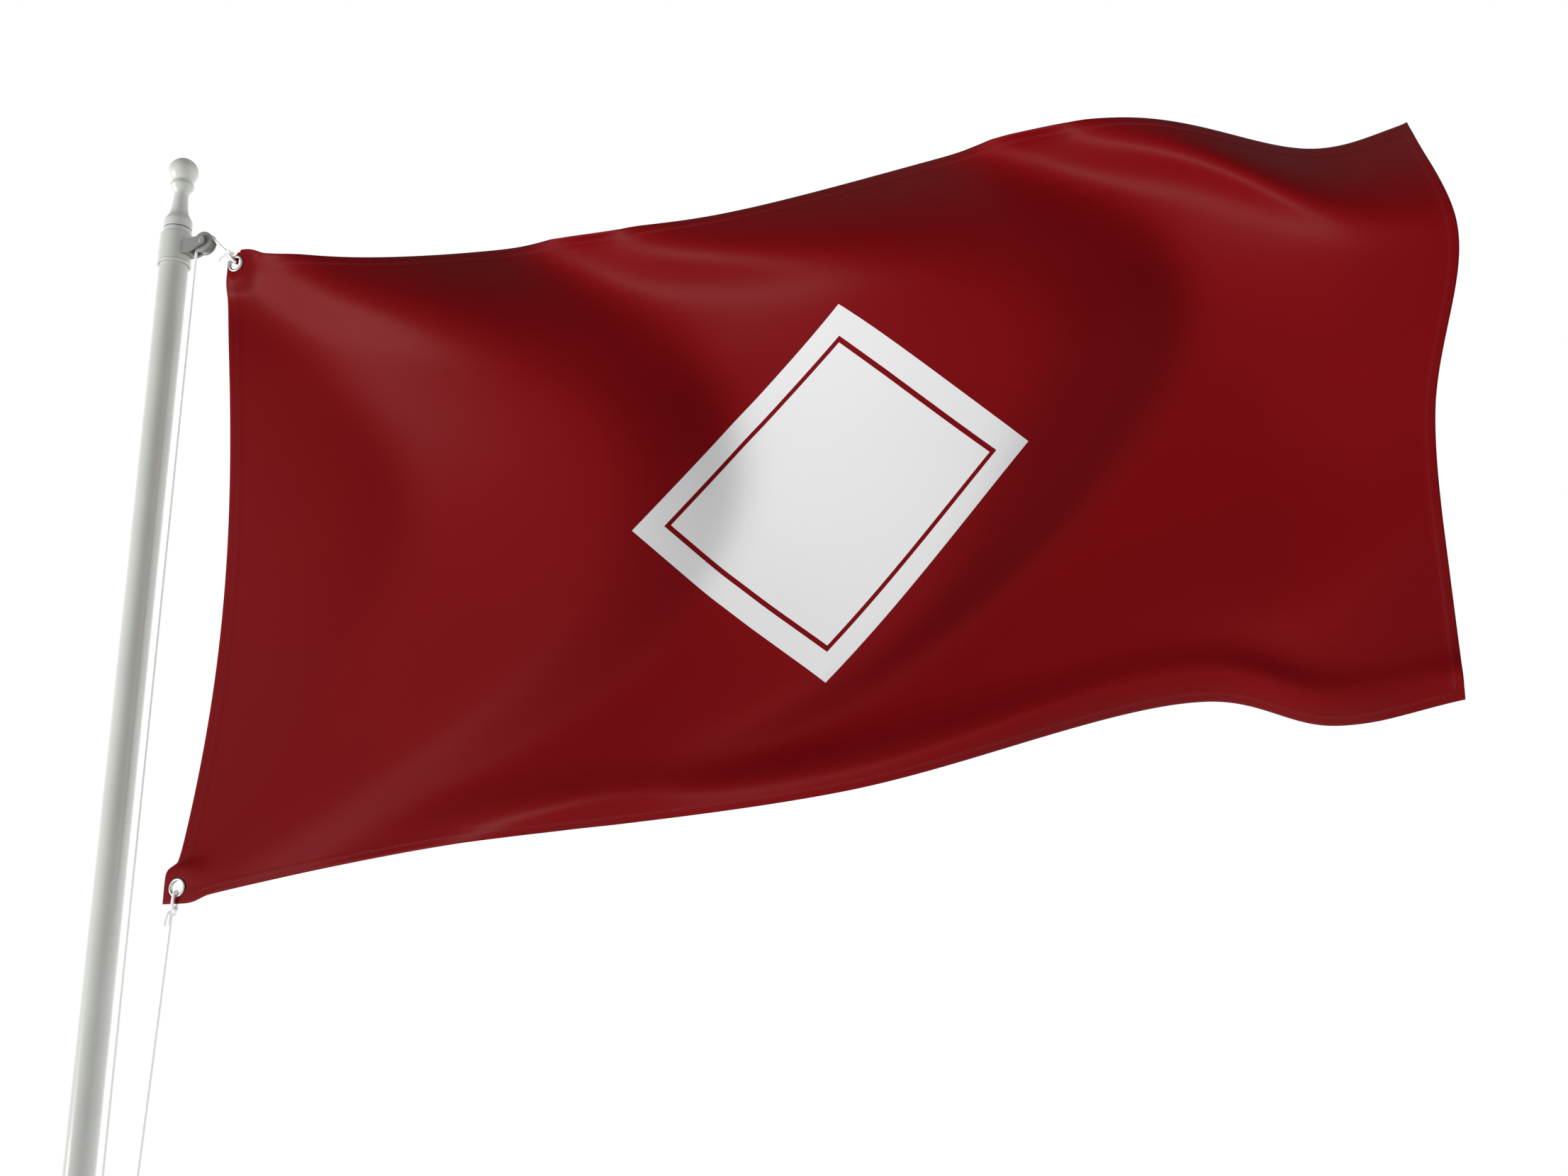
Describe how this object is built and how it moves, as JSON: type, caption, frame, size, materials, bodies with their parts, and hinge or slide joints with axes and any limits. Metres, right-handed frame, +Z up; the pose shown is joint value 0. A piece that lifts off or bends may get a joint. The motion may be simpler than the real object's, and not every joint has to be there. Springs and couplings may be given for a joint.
{
  "type": "flag on a pole",
  "caption": "Rectangular flag hoisted on a halyard at the top of a round pole, with a ball finial, a truck and pulley, a cleat, and a base flange.",
  "frame": {"origin": "centre of the base flange's underside, on the pole's axis at ground level", "axes": "+Z up along the pole, +X the way the flag streams, -Y towards its front"},
  "size_m": [1.7569, 0.2176, 3.0126],
  "materials": {
    "pole": "gloss light grey powder coat",
    "fork": "satin mid grey",
    "steel": "bright stainless",
    "brass": "turned",
    "nylon": "natural nylon",
    "rubber": "matt black",
    "rope": "braided polyester, white",
    "cloth": "dark red woven polyester with a satin sheen"
  },
  "bodies": {
    "pole": {"pole_tube": "pole", "base_flange": "pole", "base_screw_back": "steel", "base_screw_front": "steel", "truck": "pole", "truck_screw_left": "steel", "truck_screw_right": "steel", "finial_spindle": "steel", "finial_gasket": "rubber", "finial": "pole", "pulley_fork": "fork", "sheave_washer_front": "nylon", "sheave_washer_back": "nylon", "sheave_axle": "steel", "cleat": "pole", "cleat_screw_upper": "steel", "cleat_screw_lower": "steel", "cleat_hitch": "rope", "fall_rope": "rope"},
    "sheave": {"sheave": "fork", "sheave_bush": "brass"},
    "halyard": {"upper_rope": "rope", "lower_rope": "rope"},
    "flag": {"flag_cloth": "cloth", "upper_grommet": "steel", "upper_grommet_washer": "steel", "lower_grommet": "steel", "lower_grommet_washer": "steel", "upper_knot": "rope", "lower_knot": "rope"}
  },
  "joints": [
    {"name": "halyard_hoist", "type": "slide", "parent": "pole", "child": "halyard", "axis": [0, 0, 1], "range_m": [-0.78, 0], "deforming": ["upper_rope", "lower_rope"]},
    {"name": "flag_swing", "type": "hinge", "parent": "halyard", "child": "flag", "pos_m": [0.09875, 0, 2.4], "axis": [0, 0, 1], "range_deg": [-100, 100]},
    {"name": "sheave_spin", "type": "hinge", "parent": "pole", "child": "sheave", "pos_m": [0.05, 0, 2.871], "axis": [0, 1, 0], "continuous": true}
  ],
  "couplings": [
    {"joint": "sheave_spin", "follows": "halyard_hoist", "rad_per_m": -75.19}
  ]
}
